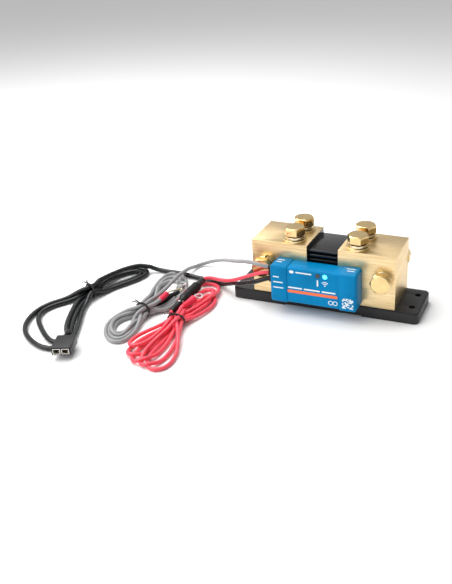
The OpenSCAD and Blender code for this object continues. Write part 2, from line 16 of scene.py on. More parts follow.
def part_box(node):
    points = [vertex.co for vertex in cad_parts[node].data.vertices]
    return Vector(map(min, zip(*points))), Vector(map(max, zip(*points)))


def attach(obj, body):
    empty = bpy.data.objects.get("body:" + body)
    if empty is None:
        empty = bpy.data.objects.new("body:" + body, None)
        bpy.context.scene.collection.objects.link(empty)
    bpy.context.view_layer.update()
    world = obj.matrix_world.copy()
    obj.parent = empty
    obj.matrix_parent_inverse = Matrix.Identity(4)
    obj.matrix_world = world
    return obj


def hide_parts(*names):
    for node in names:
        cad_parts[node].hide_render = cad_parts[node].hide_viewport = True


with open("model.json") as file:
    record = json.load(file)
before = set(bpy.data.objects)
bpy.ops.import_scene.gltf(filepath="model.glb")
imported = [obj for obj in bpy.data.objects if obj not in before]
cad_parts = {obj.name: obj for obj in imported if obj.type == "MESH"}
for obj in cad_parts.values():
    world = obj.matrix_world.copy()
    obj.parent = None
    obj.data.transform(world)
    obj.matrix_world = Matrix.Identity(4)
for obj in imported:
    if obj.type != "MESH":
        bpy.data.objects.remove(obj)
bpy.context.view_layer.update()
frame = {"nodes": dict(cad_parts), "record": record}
NODES = frame["nodes"]
MM = 0.001


def mm(point):
    return Vector(point) * MM


def node_box(name):
    """Lowest and highest corner of a CAD node, in millimetres."""
    low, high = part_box(name)
    return np.array(low) / MM, np.array(high) / MM


# ---------------------------------------------------------------- camera

CAMERA_AT = (196.35, -578.03, 320.54)
CAMERA_ROLL = -0.47
CAMERA_LENS = 47.78
CAMERA_SHIFT = (-0.1797, 0.0116)


def make_camera():
    data = bpy.data.cameras.new("camera")
    data.lens = CAMERA_LENS
    data.shift_x, data.shift_y = CAMERA_SHIFT
    data.clip_start = 0.01
    camera = bpy.data.objects.new("camera", data)
    bpy.context.scene.collection.objects.link(camera)
    back = Vector(CAMERA_AT).normalized()
    turn = back.to_track_quat("Z", "Y").to_matrix().to_4x4()
    roll = Matrix.Rotation(math.radians(CAMERA_ROLL), 4, "Z")
    camera.matrix_world = Matrix.Translation(mm(CAMERA_AT)) @ turn @ roll
    bpy.context.scene.camera = camera


make_camera()

# ---------------------------------------------------------------- leads

GREY_D = 3.4
RED_D = 3.2
BLACK_D = 4.2
EXIT_X = node_box("lead_grommets")[0][0]
EXIT_Y = -34
EXIT_Z = (40.7, 35.3, 29.9)

# Routes of the free stretches, from the grommet to the hank.
GREY_ROUTE = [
    (EXIT_X, EXIT_Y, EXIT_Z[0]), (-44, EXIT_Y, EXIT_Z[0]), (-48, -35.4, 41.6), (-52.5, -36.3, 42.8),
    (-58, -35.2, 42.9), (-64.5, -31.2, 41), (-72, -25.2, 37.8), (-80.5, -17.2, 33.2), (-89.5, -8.2, 28.2),
    (-98, 1, 23.4), (-106, 9.6, 18.8), (-114, 17.4, 14.2), (-122, 23.8, 9.8), (-130, 28, 6),
    (-137, 28.4, 3.2), (-141.8, 25, 2.2), (-143.8, 19, 2.6), (-144, 12.4, 4.4), (-144, 6, 6),
    (-144, 0, 6.8), (-144, -6, 7.4),
]
RED_ROUTE = [
    (EXIT_X, EXIT_Y, EXIT_Z[1]), (-44, EXIT_Y, EXIT_Z[1]), (-48, -35.3, 35.3), (-53, -36, 34),
    (-60, -34.6, 30.5), (-68, -31, 26), (-76, -28, 21.5), (-84, -24.6, 17.4), (-92, -20.4, 14),
    (-99, -16, 11.4), (-105, -12, 9.4), (-110, -9, 8), (-114, -7.6, 7.3), (-117, -8, 7),
    (-118.7, -10, 7), (-119, -13, 7),
]
BLACK_ROUTE = [
    (EXIT_X, EXIT_Y, EXIT_Z[2]), (-44, EXIT_Y, EXIT_Z[2]), (-48, -35.2, 28.9), (-53, -36, 27),
    (-60, -34.8, 23.8), (-67, -31.6, 20.4), (-75, -28, 16.8), (-83, -22, 13.4), (-91, -16, 9),
    (-98, -11, 5), (-104, -7, 2.8), (-114, -4, 2.2), (-126, -2, 2.2), (-135, -1, 2.2), (-144, 1, 2.2),
    (-153, 2, 2.2), (-165, 2, 2.2), (-174, 1, 3.2), (-181, -1.5, 6.2),
]

# Where each hank is tied, the compass angle of its upper end, and the height of its middle.
GREY_TIE, GREY_UP = (-142, -80), 87
RED_TIE, RED_UP = (-107, -86), 97
BLACK_TIE, BLACK_UP = (-205, -63), 68
TIE_HEIGHT = 7
# Radius of the ring that the lead's stretches form round the middle of a tied bundle.
GREY_RING_R = 3.92
BLACK_RING_R = 3.57

# The red lead's fuse holder, and the far ends of the three leads.
HOLDER_TOP = np.array([-119, -13, 7.0])
HOLDER_WAY = np.array([1, -30, 0]) / math.hypot(1, 30)
HOLDER_L = 32
HOLDER_R = 3.9
HOLDER_BULGE = 4.5
FUSE_CAP_L = 31
FUSE_CAP_R = 2.9
BOOT_FROM = np.array([-110.1, -67.6, 9])
BOOT_TO = np.array([-107.4, -54, 9])
BOOT_L = 15
GREY_FUSE_FROM = np.array([-141, -66, 3.4])
GREY_FUSE_TO = np.array([-132, -35, 3.4])
GREY_FUSE_L = 32
GREY_FUSE_R = 3
SLEEVE_FROM = np.array([-134.4, -63.6, 9])
SLEEVE_TO = np.array([-134.9, -50.6, 9])
SLEEVE_L = 13
SLEEVE_R = 2.4
CREAM_WIRE_D = 1.4
CREAM_WIRES = [
    [(-134.9, -50.6, 9), (-135.1, -46.5, 8.7), (-134.9, -41, 7.2), (-134.3, -36, 5.6), (-133.6, -31, 4.5)],
    [(-131.8, -34.2, 3.6), (-131.3, -33, 3.8), (-131.2, -31.8, 4.1), (-131.9, -30.6, 4.4), (-133, -30, 4.5)],
]
PLUG_AT = np.array([-173, -142.2, 4.3])
PLUG_TURN = 20.6
PLUG_L, PLUG_H = 20, 7
SOCKET_X = 3.4
PLUG_ENTRY = np.array([-174.0, -139.2, 7.8])

# Distance between the points that a hank is settled with.
STEP = 2.4


def resample(points, step):
    """The same line with its points the given step apart."""
    points = np.array(points, float)
    along = np.concatenate([[0], np.cumsum(np.linalg.norm(np.diff(points, axis=0), axis=1))])
    count = max(2, int(round(along[-1] / step)) + 1)
    at = np.linspace(0, along[-1], count)
    return np.stack([np.interp(at, along, points[:, k]) for k in range(3)], 1)


def smooth_path(points, per=6):
    """Centripetal Catmull-Rom curve through the points."""
    points = np.array(points, float)
    ends = np.vstack([2 * points[0] - points[1], points, 2 * points[-1] - points[-2]])
    line = []
    for i in range(1, len(ends) - 2):
        p0, p1, p2, p3 = ends[i - 1 : i + 3]
        t1 = np.linalg.norm(p1 - p0) ** 0.5
        t2 = t1 + np.linalg.norm(p2 - p1) ** 0.5
        t3 = t2 + np.linalg.norm(p3 - p2) ** 0.5
        for t in np.linspace(t1, t2, per, endpoint=False):
            a1 = p0 + (p1 - p0) * t / t1
            a2 = p1 + (p2 - p1) * (t - t1) / (t2 - t1)
            a3 = p2 + (p3 - p2) * (t - t2) / (t3 - t2)
            b1 = a1 + (a2 - a1) * t / t2
            b2 = a2 + (a3 - a2) * (t - t1) / (t3 - t1)
            line.append(b1 + (b2 - b1) * (t - t1) / (t2 - t1))
    line.append(points[-1])
    return np.array(line)


def touching_pairs(line, diameter, apart):
    """Pairs of points far apart along the line that may touch."""
    found = []
    for i in range(len(line)):
        later = np.arange(i + apart + 1, len(line))
        near = (np.abs(line[later] - line[i]) < diameter + 3).all(1)
        found.append(np.stack([np.full(near.sum(), i), later[near]], 1))
    pairs = np.concatenate(found)
    return pairs[:, 0], pairs[:, 1]


def settle(line, diameter, held, blocks):
    """Lets a hank's turns lie on the table, over and beside each other.

    held is 1 where a point stays put. Each block is the rod (a, b, radius) of something
    that the lead lies against.
    """
    keep = 0.05
    rounds = 240
    p = line.copy()
    step = np.linalg.norm(np.diff(p, axis=0), axis=1).mean()
    apart = int(math.ceil(2 * diameter / step))
    free = (1 - held)[:, None]
    for turn in range(rounds):
        if turn % 10 == 0:
            first, second = touching_pairs(p, diameter, apart)
        q = p.copy()
        q[2:-2] += 0.35 * ((4 * (p[1:-3] + p[3:-1]) - (p[:-4] + p[4:])) / 6 - p[2:-2])
        q[1:-1] += 0.10 * ((p[:-2] + p[2:]) / 2 - p[1:-1])
        q += keep * (line - p) * np.array([1, 1, 0.3])
        q[:, 2] -= 0.05
        p = p + (q - p) * free
        for _ in range(3):
            p = p + push_apart(p, first, second, diameter) * free
            for a, b, radius in blocks:
                p = p + push_off(p, np.array(a, float), np.array(b, float), radius + diameter / 2) * free
            stretch = np.diff(p, axis=0)
            length = np.linalg.norm(stretch, axis=1)[:, None]
            pull = (length - step) / length * stretch * 0.25
            move = np.zeros_like(p)
            move[:-1] += pull
            move[1:] -= pull
            p = p + move * free
            p[:, 2] = np.where(held > 0.99, p[:, 2], np.maximum(p[:, 2], diameter / 2))
    return p


def push_apart(p, first, second, diameter):
    """Moves that take two stretches of the lead off each other."""
    gap = p[first] - p[second]
    distance = np.sqrt((gap**2).sum(1)) + 1e-9
    close = distance < diameter
    push = ((diameter - distance[close]) / distance[close] * 0.3)[:, None] * gap[close]
    move = np.zeros_like(p)
    np.add.at(move, first[close], push)
    np.add.at(move, second[close], -push)
    size = np.linalg.norm(move, axis=1)[:, None]
    return move * np.minimum(1, 0.5 / np.maximum(size, 1e-9))


def push_off(p, a, b, clear):
    """Moves that keep the lead the distance clear from the rod between a and b."""
    rod = b - a
    t = np.clip(((p - a) @ rod) / (rod @ rod), 0, 1)[:, None]
    off = p - (a + t * rod)
    distance = np.linalg.norm(off, axis=1)[:, None] + 1e-9
    return np.where(distance < clear, (clear - distance) / distance * off * 0.4, 0)


def across(up):
    """Unit vector to the right of a hank that points along the compass angle up."""
    return np.array([math.sin(math.radians(up)), -math.cos(math.radians(up))])


def in_tie(tie, up, place):
    """A place in the bundle under a tie: the distance to the right and the height."""
    side = across(up) * place[0]
    return np.array([tie[0] + side[0], tie[1] + side[1], place[1]])


def round_place(radius, angle):
    """A place on a ring round the middle of a tied bundle, clockwise from its top."""
    a = math.radians(angle)
    return radius * math.sin(a), TIE_HEIGHT + radius * math.cos(a)


def nested(outer, inner, count):
    """Loops spread evenly from an outer outline to an inner one."""
    outer, inner = np.array(outer, float), np.array(inner, float)
    return [outer + (inner - outer) * k / (count - 1) for k in range(count)]


def petal(tie, up, start, end, heading, length, width, tip_height):
    """One loop of a hank: out along the heading, round, and back into the tie."""
    way = np.array([math.cos(math.radians(heading)), math.sin(math.radians(heading))])
    right = np.array([way[1], -way[0]])
    points = []
    for s in np.linspace(0, 1, 25)[1:-1]:
        out = math.sin(math.pi * s)
        near_tie = math.cos(math.pi * s) ** 2
        place = (1 - s) * np.array(start) + s * np.array(end)
        flat = np.array(tie) + across(up) * place[0] * near_tie + way * length * out
        flat = flat + right * (width / 2 * math.sin(2 * math.pi * s))
        points.append([flat[0], flat[1], near_tie * place[1] + (1 - near_tie) * tip_height])
    return points


def hank_line(lead, places, loops, tail, diameter, blocks):
    """A whole lead: its free stretch, its hank's loops through the places in its tie, and its tail."""
    corners = [np.array(lead[-2]), np.array(lead[-1])]
    in_ties = []
    for k, place in enumerate(places):
        corners.append(np.array(place))
        in_ties.append(len(corners) - 1)
        if k < len(loops):
            corners += [np.array(q, float) for q in loops[k]]
    corners += [np.array(q, float) for q in tail]
    body = resample(smooth_path(corners)[6:], STEP)
    line = np.vstack([lead, body[1:]])
    held = np.zeros(len(line))
    held[: len(lead)] = 1
    held[-2:] = 1
    for k in in_ties:
        nearest = np.argmin(np.linalg.norm(body[1:] - corners[k], axis=1))
        held[len(lead) + nearest] = 1
    line = settle(line, diameter, held, blocks)
    last = len(lead) - 1
    for _ in range(2):
        s = line.copy()
        line[last + 1 : -2] = (s[last - 1 : -4] + 4 * s[last:-3] + 6 * s[last + 1 : -2]
                               + 4 * s[last + 2 : -1] + s[last + 3 :]) / 16
    return line


def grey_line():
    lead = resample(smooth_path(GREY_ROUTE), STEP)
    over = smooth_path([lead[-1], (-143.4, -14, 8.4), (-142, -28, 9), (-140.6, -44, 9.2), (-140.2, -58, 9.6),
                        (-141, -70, 10.4)], 8)
    lead = np.vstack([lead, resample(over, STEP)[1:]])
    lower = nested(
        [(-151, -82, 8), (-159, -88, 6), (-163, -95, 4), (-160.5, -105, 2), (-153.5, -117, 2),
         (-146, -125, 2), (-138.5, -127.5, 2), (-134.4, -122, 2), (-135.5, -109, 3), (-137, -95, 5.5)],
        [(-149, -85, 7), (-154, -90, 5.5), (-156.4, -97, 4), (-156, -104.5, 3), (-153.4, -111.2, 2),
         (-148.4, -115.2, 2), (-143, -113.2, 2), (-140.8, -106, 3), (-141.6, -96.5, 4.5),
         (-142.4, -88, 6)], 4)
    upper = nested(
        [(-130, -70, 4), (-126, -52, 2.2), (-130, -30, 2), (-138, -11, 2), (-147, -1, 2),
         (-157, 2.5, 2), (-162.5, -7, 2), (-159, -24, 2.5), (-154, -42, 4.5), (-150, -57, 7),
         (-148, -70, 9)],
        [(-137, -68, 5.5), (-132, -58, 3.5), (-133, -43, 2.5), (-137.5, -27, 2.5), (-142, -16, 2.5),
         (-149.5, -12.5, 2.5), (-156, -18, 2.5), (-156.5, -28, 3), (-151.5, -43, 4.5), (-148, -57, 6),
         (-146, -68, 8)], 3)
    loops = [lower[0], upper[0], lower[1], upper[1], lower[2], upper[2], lower[3]]
    places = [round_place(GREY_RING_R, 0), (0, TIE_HEIGHT)]
    places += [round_place(GREY_RING_R, angle) for angle in (308, 103, 257, 154, 206, 52)]
    places = [in_tie(GREY_TIE, GREY_UP, place) for place in places]
    tail = [(-137.6, -75.5, 9.6), (-135.8, -70.5, 9.4), (-134.7, -66.5, 9.1), SLEEVE_FROM]
    blocks = [(GREY_FUSE_FROM, GREY_FUSE_TO, GREY_FUSE_R), (SLEEVE_FROM + (0, 3, 0), SLEEVE_TO, SLEEVE_R)]
    return hank_line(lead, places, loops, tail, GREY_D, blocks)


def red_line():
    lead = resample(smooth_path(RED_ROUTE), STEP)
    through = [HOLDER_TOP + HOLDER_WAY * s for s in np.arange(STEP, HOLDER_L + FUSE_CAP_L, STEP)]
    lead = np.vstack([lead, through, [(-116, -79.4, 7.1)]])
    # places in the bundle, from its left side to its right one and back
    bundle = [(-4.8, 6.5), (-3.2, 9.3), (-3.2, 3.7), (-1.6, 6.5), (0, 3.7), (1.6, 6.5), (3.2, 9.3),
              (4.8, 6.5), (3.2, 3.7), (0, 9.3)]
    # heading, length, width and height of the tip of each loop, below and above the tie in turn
    turns = [(-109, 49, 14, 6), (95, 78, 30, 5), (-100, 58, 17, 5), (91, 69, 16, 4), (-91, 64, 18, 4),
             (90, 64, 16, 6), (-83, 67, 18, 3), (84, 55, 16, 5), (-75, 70, 21, 1.6)]
    loops = [petal(RED_TIE, RED_UP, bundle[k], bundle[k + 1], heading, length, width, tip)
             for k, (heading, length, width, tip) in enumerate(turns)]
    places = [in_tie(RED_TIE, RED_UP, place) for place in bundle]
    tail = [(-108, -80, 9.8), (-109.6, -74.5, 9.5), (-110.3, -70.8, 9.1), BOOT_FROM]
    blocks = [
        (HOLDER_TOP, HOLDER_TOP + HOLDER_WAY * HOLDER_L, HOLDER_R),
        (HOLDER_TOP + HOLDER_WAY * HOLDER_L, HOLDER_TOP + HOLDER_WAY * (HOLDER_L + FUSE_CAP_L), FUSE_CAP_R),
        (BOOT_FROM + (0.6, 3, 0), BOOT_TO, 3.2),
        (BOOT_TO, (-105.2, -43, 9), 2),
        *[(BLACK_ROUTE[k], BLACK_ROUTE[k + 1], BLACK_D / 2) for k in (9, 10, 11)],
    ]
    return hank_line(lead, places, loops, tail, RED_D, blocks)


def black_line():
    lead = resample(smooth_path(BLACK_ROUTE), STEP)
    over = smooth_path([lead[-1], (-189, -6, 8.2), (-197, -16, 8.6), (-203, -32, 9), (-206, -48, 9.8)], 8)
    lead = np.vstack([lead, resample(over, STEP)[1:]])
    low = BLACK_D / 2
    lower = nested(
        [(-213, -69, 8), (-222, -76, 5), (-229, -85, 3), (-233, -97, low), (-232.5, -110, low),
         (-227, -126, low), (-217, -138.5, low), (-206, -146, low), (-194, -151.5, low),
         (-182, -152, low), (-174.5, -148, low), (-173, -139, low), (-179, -124, low),
         (-188, -105, low), (-197, -87, 3), (-202, -74, 5)],
        [(-213, -73, 6.5), (-219, -81, 5), (-225, -89, 3.5), (-228, -98, 2.5), (-227.5, -106, low),
         (-222, -115.5, low), (-212, -125.5, low), (-202, -134, low), (-193, -140.5, low),
         (-185, -143, low), (-179.5, -140, low), (-179.5, -133, low), (-186, -121, low),
         (-194, -105, low), (-201, -88, 3), (-204, -76, 5)], 2)
    upper = nested(
        [(-199, -58, 5), (-197.5, -48, 3), (-192, -37, low), (-186, -27, low), (-181, -15, low),
         (-180.5, -7, low), (-185, -1, 2.5), (-193, -1, 3.5), (-202, -7, 4.5), (-208, -17, 5),
         (-210.5, -32, 6), (-208.5, -48, 7.5)],
        [(-200.5, -58, 7), (-199.5, -48, 4.5), (-195, -38, 2.5), (-189.5, -28, low), (-185, -17, low),
         (-184.5, -10, 2.6), (-188.5, -6, 3.5), (-195, -8, 4.5), (-201, -15, 5), (-205, -24, 6),
         (-206, -37, 7), (-205, -50, 8)], 2)
    loops = [lower[0], upper[0], lower[1], upper[1]]
    places = [in_tie(BLACK_TIE, BLACK_UP, round_place(BLACK_RING_R, angle))
              for angle in (0, 72, 288, 144, 216)]
    tail = [(-207, -76, 7), (-205, -88, 6.3), (-199, -104, 6.3), (-190, -121, 6.8), (-181.5, -131.5, 7.5),
            (-175.6, -137, 7.8), (-174.2, -139, 7.8)]
    return hank_line(lead, places, loops, tail, BLACK_D, [])


# Edges that turn by more degrees than this stay sharp.
SHARP_ANGLE = 32


def collection_add(name, data):
    piece = bpy.data.objects.new(name, data)
    bpy.context.scene.collection.objects.link(piece)
    return piece


def mesh_piece(name, verts, faces, body="root", sharp=SHARP_ANGLE):
    """A mesh piece from places in millimetres, smooth apart from its sharp edges."""
    data = bpy.data.meshes.new(name)
    data.from_pydata([tuple(v) for v in np.array(verts, float) * MM], [], faces)
    shape = bmesh.new()
    shape.from_mesh(data)
    bmesh.ops.remove_doubles(shape, verts=shape.verts, dist=1e-7)
    bmesh.ops.dissolve_degenerate(shape, edges=shape.edges, dist=1e-7)
    bmesh.ops.recalc_face_normals(shape, faces=shape.faces)
    shape.to_mesh(data)
    shape.free()
    piece = collection_add(name, data)
    data.shade_smooth()
    data.set_sharp_from_angle(angle=math.radians(sharp))
    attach(piece, body)
    return piece


def walls(rings, sides, start=0):
    """Faces between rings of points that follow each other."""
    return [
        (start + r * sides + k, start + r * sides + (k + 1) % sides,
         start + (r + 1) * sides + (k + 1) % sides, start + (r + 1) * sides + k)
        for r in range(rings - 1)
        for k in range(sides)
    ]


def unit(vector):
    vector = np.array(vector, float)
    return vector / np.linalg.norm(vector)


def side_of(way):
    """A unit vector square to way, level where it can be."""
    flat = np.cross(way, (0, 0, 1))
    if np.linalg.norm(flat) < 1e-3:
        flat = np.array([1.0, 0, 0])
    return unit(flat)


def tube(name, lines, diameter, sides=14):
    """Round wires along the lines, as one piece."""
    verts, faces = [], []
    for line in lines:
        line = np.array(line, float)
        ways = np.gradient(line, axis=0)
        side = side_of(ways[0])
        start = len(verts)
        for point, way in zip(line, ways):
            way = unit(way)
            side = unit(side - way * (side @ way))
            up = np.cross(side, way)
            for k in range(sides):
                angle = 2 * math.pi * k / sides
                verts.append(point + diameter / 2 * (math.cos(angle) * side + math.sin(angle) * up))
        faces += walls(len(line), sides, start)
        faces.append(tuple(range(start, start + sides)))
        faces.append(tuple(range(len(verts) - sides, len(verts))))
    return mesh_piece(name, verts, faces)


def lathe(name, profile, start, way, sides=40):
    """A turned piece: profile is (distance along the way, radius)."""
    way = unit(way)
    side = side_of(way)
    up = np.cross(side, way)
    verts = []
    for s, radius in profile:
        for k in range(sides):
            angle = 2 * math.pi * k / sides
            out = math.cos(angle) * side + math.sin(angle) * up
            verts.append(np.array(start) + way * s + radius * out)
    faces = walls(len(profile), sides)
    faces.append(tuple(range(sides)))
    faces.append(tuple(range(len(verts) - sides, len(verts))))
    return mesh_piece(name, verts, faces)


def sheet_piece(name, outlines, place, depth):
    """Flat shapes of one thickness; place turns (across, up, out) into a place in millimetres."""
    verts, faces = [], []
    for outline in outlines:
        start, count = len(verts), len(outline)
        for out in (0, depth):
            verts += [place(u, v, out) for u, v in outline]
        faces.append(tuple(range(start + count - 1, start - 1, -1)))
        faces.append(tuple(range(start + count, start + 2 * count)))
        faces += walls(2, count, start)
    return mesh_piece(name, verts, faces)


LINES = {"grey": grey_line(), "red": red_line(), "black": black_line()}
DIAMETERS = {"grey": GREY_D, "red": RED_D, "black": BLACK_D}
leads = {}
for colour, line in LINES.items():
    leads[colour] = tube(f"{colour}_cord", [smooth_path(line, 2)], DIAMETERS[colour], sides=16)
    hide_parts(f"{colour}_lead", f"{colour}_hank")

# ---------------------------------------------------------------- materials


def shader(name, rough=0.5, metal=0.0, coat=0.0, spec=0.5):
    """A new material, with helpers to reach its nodes."""
    material = bpy.data.materials.new(name)
    material.use_nodes = True
    tree = material.node_tree
    surface = tree.nodes["Principled BSDF"]
    surface.inputs["Roughness"].default_value = rough
    surface.inputs["Metallic"].default_value = metal
    surface.inputs["Coat Weight"].default_value = coat
    surface.inputs["Coat Roughness"].default_value = 0.08
    surface.inputs["Specular IOR Level"].default_value = spec
    return material, tree, surface


def noise(tree, scale, detail=3.0, stretch=(1, 1, 1), rough=0.55):
    """Noise over the object's own coordinates; scale is in features per metre."""
    place = tree.nodes.new("ShaderNodeTexCoord")
    mapping = tree.nodes.new("ShaderNodeMapping")
    mapping.inputs["Scale"].default_value = stretch
    texture = tree.nodes.new("ShaderNodeTexNoise")
    texture.inputs["Scale"].default_value = scale
    texture.inputs["Detail"].default_value = detail
    texture.inputs["Roughness"].default_value = rough
    tree.links.new(place.outputs["Object"], mapping.inputs["Vector"])
    tree.links.new(mapping.outputs["Vector"], texture.inputs["Vector"])
    return texture.outputs["Fac"]


def tint(tree, surface, source, stops):
    """Colours a surface by a ramp over source; each stop is (position, colour)."""
    node = tree.nodes.new("ShaderNodeValToRGB")
    for k, (position, colour) in enumerate(stops):
        stop = node.color_ramp.elements[k] if k < 2 else node.color_ramp.elements.new(position)
        stop.position = position
        stop.color = (*colour, 1)
    tree.links.new(source, node.inputs["Fac"])
    tree.links.new(node.outputs["Color"], surface.inputs["Base Color"])


def polish(tree, surface, source, low, high):
    """Roughness from low to high, as source goes from 0.3 to 0.7."""
    node = tree.nodes.new("ShaderNodeMapRange")
    node.inputs["From Min"].default_value = 0.3
    node.inputs["From Max"].default_value = 0.7
    node.inputs["To Min"].default_value = low
    node.inputs["To Max"].default_value = high
    tree.links.new(source, node.inputs["Value"])
    tree.links.new(node.outputs["Result"], surface.inputs["Roughness"])


def bump(tree, surface, source, strength, distance):
    node = tree.nodes.new("ShaderNodeBump")
    node.inputs["Strength"].default_value = strength
    node.inputs["Distance"].default_value = distance
    tree.links.new(source, node.inputs["Height"])
    tree.links.new(node.outputs["Normal"], surface.inputs["Normal"])


def varied(colour, by):
    return tuple(min(1.0, channel * by) for channel in colour)


def moulded(name, colour, rough, grain=2500, depth=0.00003, strength=0.25, spec=0.5):
    """Moulded plastic or rubber: fine surface grain, and patches that are slightly worn."""
    material, tree, surface = shader(name, rough, spec=spec)
    patches = noise(tree, 60, 4)
    tint(tree, surface, patches, [(0.3, varied(colour, 0.86)), (0.7, varied(colour, 1.1))])
    polish(tree, surface, patches, rough - 0.06, rough + 0.08)
    bump(tree, surface, noise(tree, grain, 2), strength, depth)
    return material


def jacket(name, colour, rough, spec=0.5, coat=0.12):
    """Soft lead insulation: slight sheen, faint drawing marks and dust."""
    material, tree, surface = shader(name, rough, 0, coat, spec)
    surface.inputs["Coat Roughness"].default_value = 0.22
    marks = noise(tree, 130, 5)
    tint(tree, surface, marks, [(0.25, varied(colour, 0.84)), (0.75, varied(colour, 1.08))])
    polish(tree, surface, marks, rough - 0.05, rough + 0.1)
    bump(tree, surface, noise(tree, 900, 3), 0.12, 0.00008)
    return material


def plated(name, colour, rough, blotch=0.12):
    """Plated steel: metal with a slightly uneven colour and fine polishing marks."""
    material, tree, surface = shader(name, rough, 1.0)
    patches = noise(tree, 180, 4)
    tint(tree, surface, patches, [(0.3, varied(colour, 1 - blotch)), (0.7, varied(colour, 1 + blotch))])
    marks = noise(tree, 500, 4, (1, 1, 4))
    polish(tree, surface, marks, rough - 0.04, rough + 0.08)
    bump(tree, surface, marks, 0.05, 0.00003)
    return material


def brushed_brass():
    """Sawn and brushed brass: grain along the block on its long faces, and across on its end faces."""
    material, tree, surface = shader("brass_brushed", 0.34, 1.0)
    along_x = noise(tree, 1, 4, (40, 1700, 1700), 0.6)
    along_y = noise(tree, 1, 4, (1700, 40, 1700), 0.6)
    geometry = tree.nodes.new("ShaderNodeNewGeometry")
    split = tree.nodes.new("ShaderNodeSeparateXYZ")
    size = tree.nodes.new("ShaderNodeMath")
    size.operation = "ABSOLUTE"
    tree.links.new(geometry.outputs["True Normal"], split.inputs["Vector"])
    tree.links.new(split.outputs["X"], size.inputs[0])
    grain = tree.nodes.new("ShaderNodeMix")
    tree.links.new(size.outputs["Value"], grain.inputs["Factor"])
    tree.links.new(along_x, grain.inputs["A"])
    tree.links.new(along_y, grain.inputs["B"])
    streaks = grain.outputs["Result"]
    tint(tree, surface, streaks, [(0.28, (0.70, 0.49, 0.235)), (0.52, (0.85, 0.65, 0.36)),
                                  (0.75, (0.94, 0.77, 0.49))])
    polish(tree, surface, streaks, 0.44, 0.30)
    surface.inputs["Anisotropic"].default_value = 0.4
    bump(tree, surface, streaks, 0.16, 0.00005)
    return material


def enamel():
    """Thick black enamel over metal, with shallow waves and a hard gloss."""
    material, tree, surface = shader("enamel_black", 0.2, 0, 0.35, 0.3)
    surface.inputs["Coat Roughness"].default_value = 0.06
    waves = noise(tree, 220, 3)
    tint(tree, surface, waves, [(0.3, (0.006, 0.006, 0.007)), (0.7, (0.013, 0.013, 0.014))])
    bump(tree, surface, waves, 0.3, 0.0003)
    return material


def circuit_green():
    """Solder mask over copper tracks."""
    material, tree, surface = shader("board_mask", 0.35, 0, 0.4)
    tracks = noise(tree, 700, 2, (1, 1, 0.4))
    tint(tree, surface, tracks, [(0.48, (0.01, 0.09, 0.04)), (0.52, (0.02, 0.20, 0.09))])
    bump(tree, surface, tracks, 0.2, 0.00005)
    return material


def window(name, colour, glow, strength):
    """Clear plastic over an indicator, lit from behind where strength is above 0."""
    material, tree, surface = shader(name, 0.12, 0, 0.6)
    cloud = noise(tree, 300, 2)
    tint(tree, surface, cloud, [(0.2, varied(colour, 0.8)), (0.8, colour)])
    surface.inputs["Emission Color"].default_value = (*glow, 1)
    surface.inputs["Emission Strength"].default_value = strength
    return material


def printed(name, colour):
    """Pad-printed ink: a little uneven in cover."""
    material, tree, surface = shader(name)
    cover = noise(tree, 1200, 3)
    tint(tree, surface, cover, [(0.3, varied(colour, 0.93)), (0.7, colour)])
    bump(tree, surface, cover, 0.1, 0.00002)
    return material


MATERIALS = {
    "base_plastic": moulded("base_moulding", (0.018, 0.018, 0.019), 0.42, grain=1800, strength=0.3,
                            spec=0.35),
    "brass": brushed_brass(),
    "plate_enamel": enamel(),
    "yellow_zinc": plated("zinc_yellow", (0.80, 0.585, 0.275), 0.18, 0.09),
    "spring_steel": plated("spring_steel", (0.76, 0.66, 0.46), 0.2, 0.08),
    "washer_zinc": plated("washer_zinc", (0.82, 0.66, 0.38), 0.22, 0.08),
    "screw_steel": plated("screw_steel", (0.55, 0.55, 0.55), 0.3),
    "housing_blue": moulded("housing_blue", (0.0, 0.205, 0.455), 0.4, grain=3200, depth=0.00002,
                            spec=0.08),
    "board_green": circuit_green(),
    "chip_black": moulded("chip_black", (0.02, 0.02, 0.02), 0.5),
    "tin": plated("tinned_can", (0.72, 0.72, 0.72), 0.3),
    "socket_ivory": moulded("socket_ivory", (0.72, 0.66, 0.5), 0.5),
    "window_dark": window("window_dark", (0.006, 0.012, 0.02), (0, 0, 0), 0),
    "window_lit": window("window_lit", (0.1, 0.6, 0.9), (0.05, 0.62, 1.0), 3.2),
    "grommet_rubber": moulded("grommet_rubber", (0.012, 0.013, 0.014), 0.6),
    "jacket_grey": jacket("jacket_grey", (0.30, 0.30, 0.305), 0.42, spec=0.4),
    "jacket_red": jacket("jacket_red", (0.92, 0.075, 0.115), 0.32, spec=0.4, coat=0.15),
    "jacket_black": jacket("jacket_black", (0.007, 0.008, 0.009), 0.26, spec=0.3, coat=0.2),
    "tie_wire": moulded("tie_coating", (0.012, 0.012, 0.013), 0.5),
    "holder_black": moulded("holder_black", (0.006, 0.006, 0.007), 0.36, grain=1500, spec=0.32),
    "sleeve_red": moulded("sleeve_red", (0.84, 0.025, 0.07), 0.42, grain=1500, spec=0.35),
    "wire_cream": jacket("wire_cream", (0.78, 0.70, 0.52), 0.4),
    "plug_black": moulded("plug_black", (0.008, 0.008, 0.009), 0.4, grain=1500, spec=0.35),
    "contact_gold": plated("contact_gold", (0.85, 0.62, 0.25), 0.25),
}
WHITE_PRINT = printed("print_white", (0.80, 0.86, 0.88))
ORANGE_PRINT = printed("print_orange", (0.93, 0.16, 0.045))
SOCKET_METAL = plated("socket_metal", (0.78, 0.77, 0.74), 0.3)


def finish(piece, slot_name, material=None):
    """Gives a piece the material of a record slot, or the material given instead."""
    piece.data.materials.clear()
    piece.data.materials.append(material or MATERIALS[slot_name])


